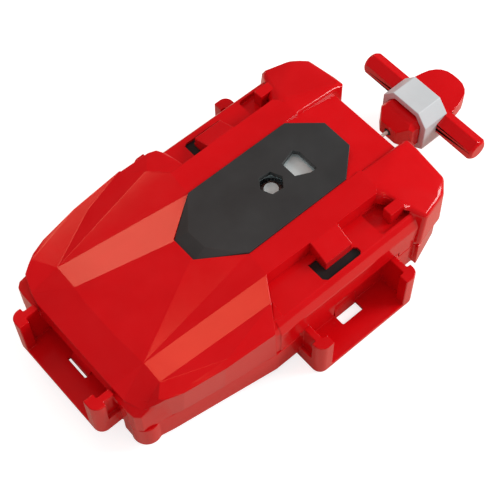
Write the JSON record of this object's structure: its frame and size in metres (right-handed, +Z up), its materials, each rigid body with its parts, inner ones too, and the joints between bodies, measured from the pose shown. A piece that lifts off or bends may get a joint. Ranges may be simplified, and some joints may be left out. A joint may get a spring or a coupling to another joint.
{
  "type": "spinning top string launcher",
  "caption": "Flat case with side and front docking clips, a pronged launch hub below, a geared string spool inside and a T handle on a pull string.",
  "frame": {"origin": "on the launch hub's spin axis, at the level of the two side docks' underside", "axes": "+X towards the pull handle, +Z up out of the dark top panel, so the launch hub faces -Z and the front dock faces -X"},
  "size_m": [0.1454, 0.0788, 0.0305],
  "materials": {
    "case_red": "glossy moulded",
    "panel_dark": "satin moulded",
    "pale_plastic": "satin moulded",
    "black_plastic": "matt moulded",
    "steel": "turned",
    "brass": "turned",
    "string": "braided"
  },
  "bodies": {
    "case": {"bottom_cover": "case_red", "top_cover": "case_red", "top_panel": "panel_dark", "case_screws": "steel", "string_eyelet": "pale_plastic", "gear_plate": "black_plastic", "plate_screws": "steel", "spool_shaft": "steel", "spring_arbor": "brass", "mainspring": "steel", "string": "string", "idler_shaft": "steel", "hub_bush": "brass", "upper_bush": "brass"},
    "spool": {"spool_drum": "pale_plastic", "spool_cap": "pale_plastic", "spool_gear": "pale_plastic", "string_winding": "string"},
    "idler": {"idler_gear": "pale_plastic"},
    "hub": {"hub_shaft": "steel", "hub_pinion": "brass", "rotor_disc": "pale_plastic", "rotor_clip": "steel", "launch_hub": "pale_plastic", "plunger_spring": "steel"},
    "plunger": {"plunger": "steel", "plunger_clip": "steel"},
    "handle": {"handle_stem": "case_red", "handle_bar": "case_red", "handle_collar": "pale_plastic", "string_bead": "brass", "handle_pin": "steel"}
  },
  "joints": [
    {"name": "handle_pull", "type": "slide", "parent": "case", "child": "handle", "axis": [1, 0, 0], "range_m": [0, 0.4], "stiffness_N_per_m": 5, "springref_m": -0.1, "deforming": ["string"]},
    {"name": "spool_spin", "type": "hinge", "parent": "case", "child": "spool", "pos_m": [-0.04, 0, 0.012], "axis": [0, 0, 1], "range_deg": [0, 1700], "deforming": ["mainspring"]},
    {"name": "idler_spin", "type": "hinge", "parent": "case", "child": "idler", "pos_m": [-0.014, 0, 0.017], "axis": [0, 0, 1], "range_deg": [-3820, 0]},
    {"name": "hub_spin", "type": "hinge", "parent": "case", "child": "hub", "pos_m": [0, 0, 0.009], "axis": [0, 0, 1], "range_deg": [0, 5090]},
    {"name": "plunger_press", "type": "slide", "parent": "hub", "child": "plunger", "axis": [0, 0, 1], "range_m": [0, 0.0018], "stiffness_N_per_m": 300, "springref_m": -0.002, "deforming": ["plunger_spring"]}
  ],
  "couplings": [
    {"joint": "spool_spin", "follows": "handle_pull", "rad_per_m": 73.172},
    {"joint": "idler_spin", "follows": "handle_pull", "rad_per_m": -164.64},
    {"joint": "hub_spin", "follows": "handle_pull", "rad_per_m": 219.51}
  ]
}
